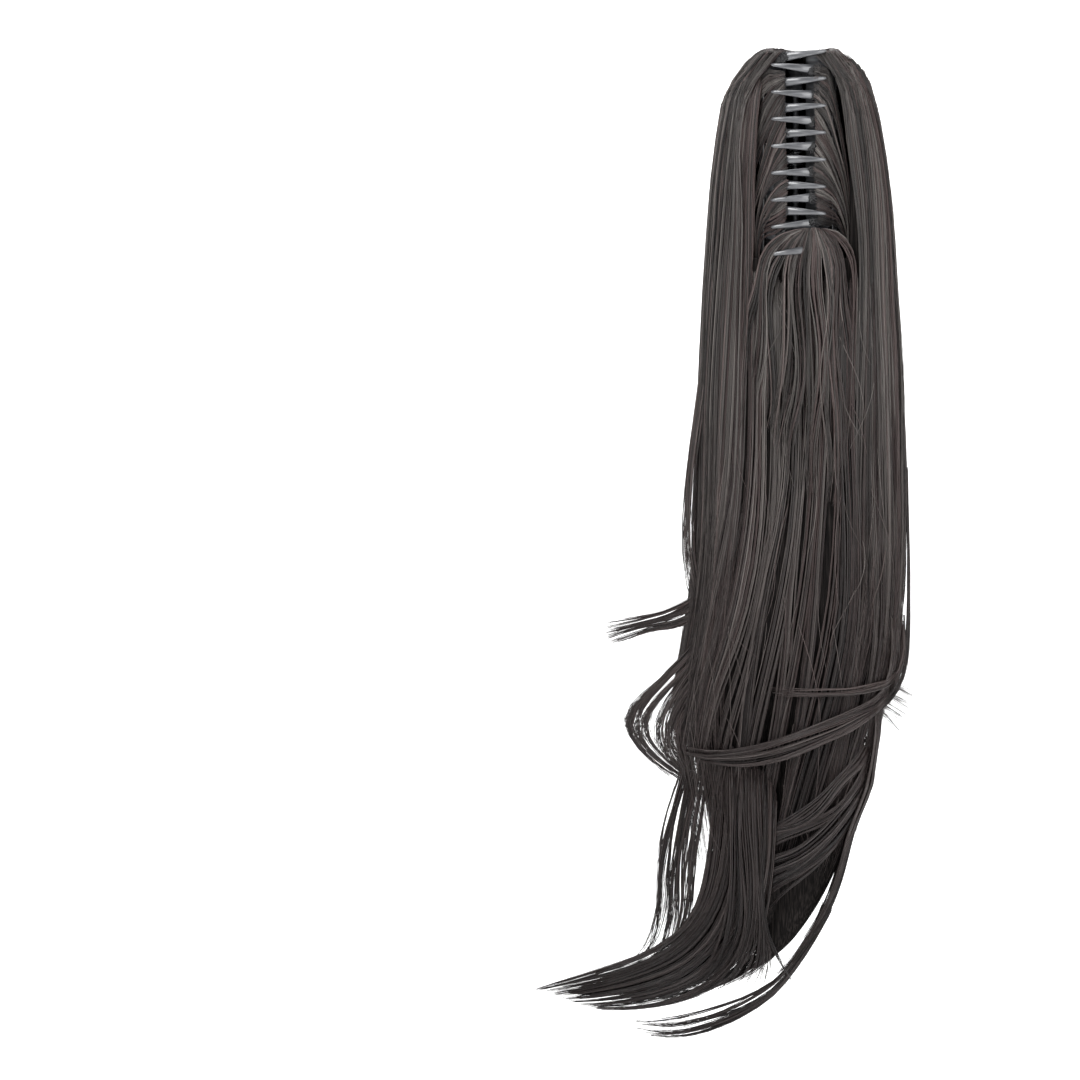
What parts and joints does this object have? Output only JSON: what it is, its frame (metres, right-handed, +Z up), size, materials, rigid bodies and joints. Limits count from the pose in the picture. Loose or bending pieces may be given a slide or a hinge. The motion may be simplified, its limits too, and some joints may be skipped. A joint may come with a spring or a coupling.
{
  "type": "ponytail hairpiece on a claw clip",
  "caption": "Long false ponytail with a swept, curling tail, sewn to a sprung claw clip that closes on the wearer's own gathered hair.",
  "frame": {"origin": "middle of the clip's hollow, where the wearer's gathered hair sits, at half the clip's length", "axes": "+Z up along the clip and the hair's fall, -Y towards the wearer's head, +Y the outer side, +X to the right as seen from the clip's side"},
  "size_m": [0.1799, 0.0736, 0.4859],
  "materials": {
    "hair": "soft satin synthetic hair, very dark brown black",
    "claw": "moulded glossy charcoal plastic",
    "steel": "bright drawn wire",
    "weft": "matt sewn thread band"
  },
  "bodies": {
    "ponytail": {"outer_curtain": "hair", "inner_fall": "hair", "hinge_pin": "steel", "claw_spring": "steel"},
    "right_side": {"right_jaw": "claw", "right_weft": "weft", "right_tuft": "hair"},
    "left_side": {"left_jaw": "claw", "left_weft": "weft", "left_tuft": "hair"}
  },
  "joints": [
    {"name": "right_hinge", "type": "hinge", "parent": "ponytail", "child": "right_side", "pos_m": [0, 0.018, 0], "axis": [0, 0, 1], "range_deg": [0, 32], "stiffness_Nm_per_rad": 0.05, "springref_deg": -28.65, "deforming": ["claw_spring"]},
    {"name": "left_hinge", "type": "hinge", "parent": "ponytail", "child": "left_side", "pos_m": [0, 0.018, 0], "axis": [0, 0, 1], "range_deg": [-32, 0]}
  ],
  "couplings": [
    {"joint": "left_hinge", "follows": "right_hinge", "ratio": -1}
  ]
}
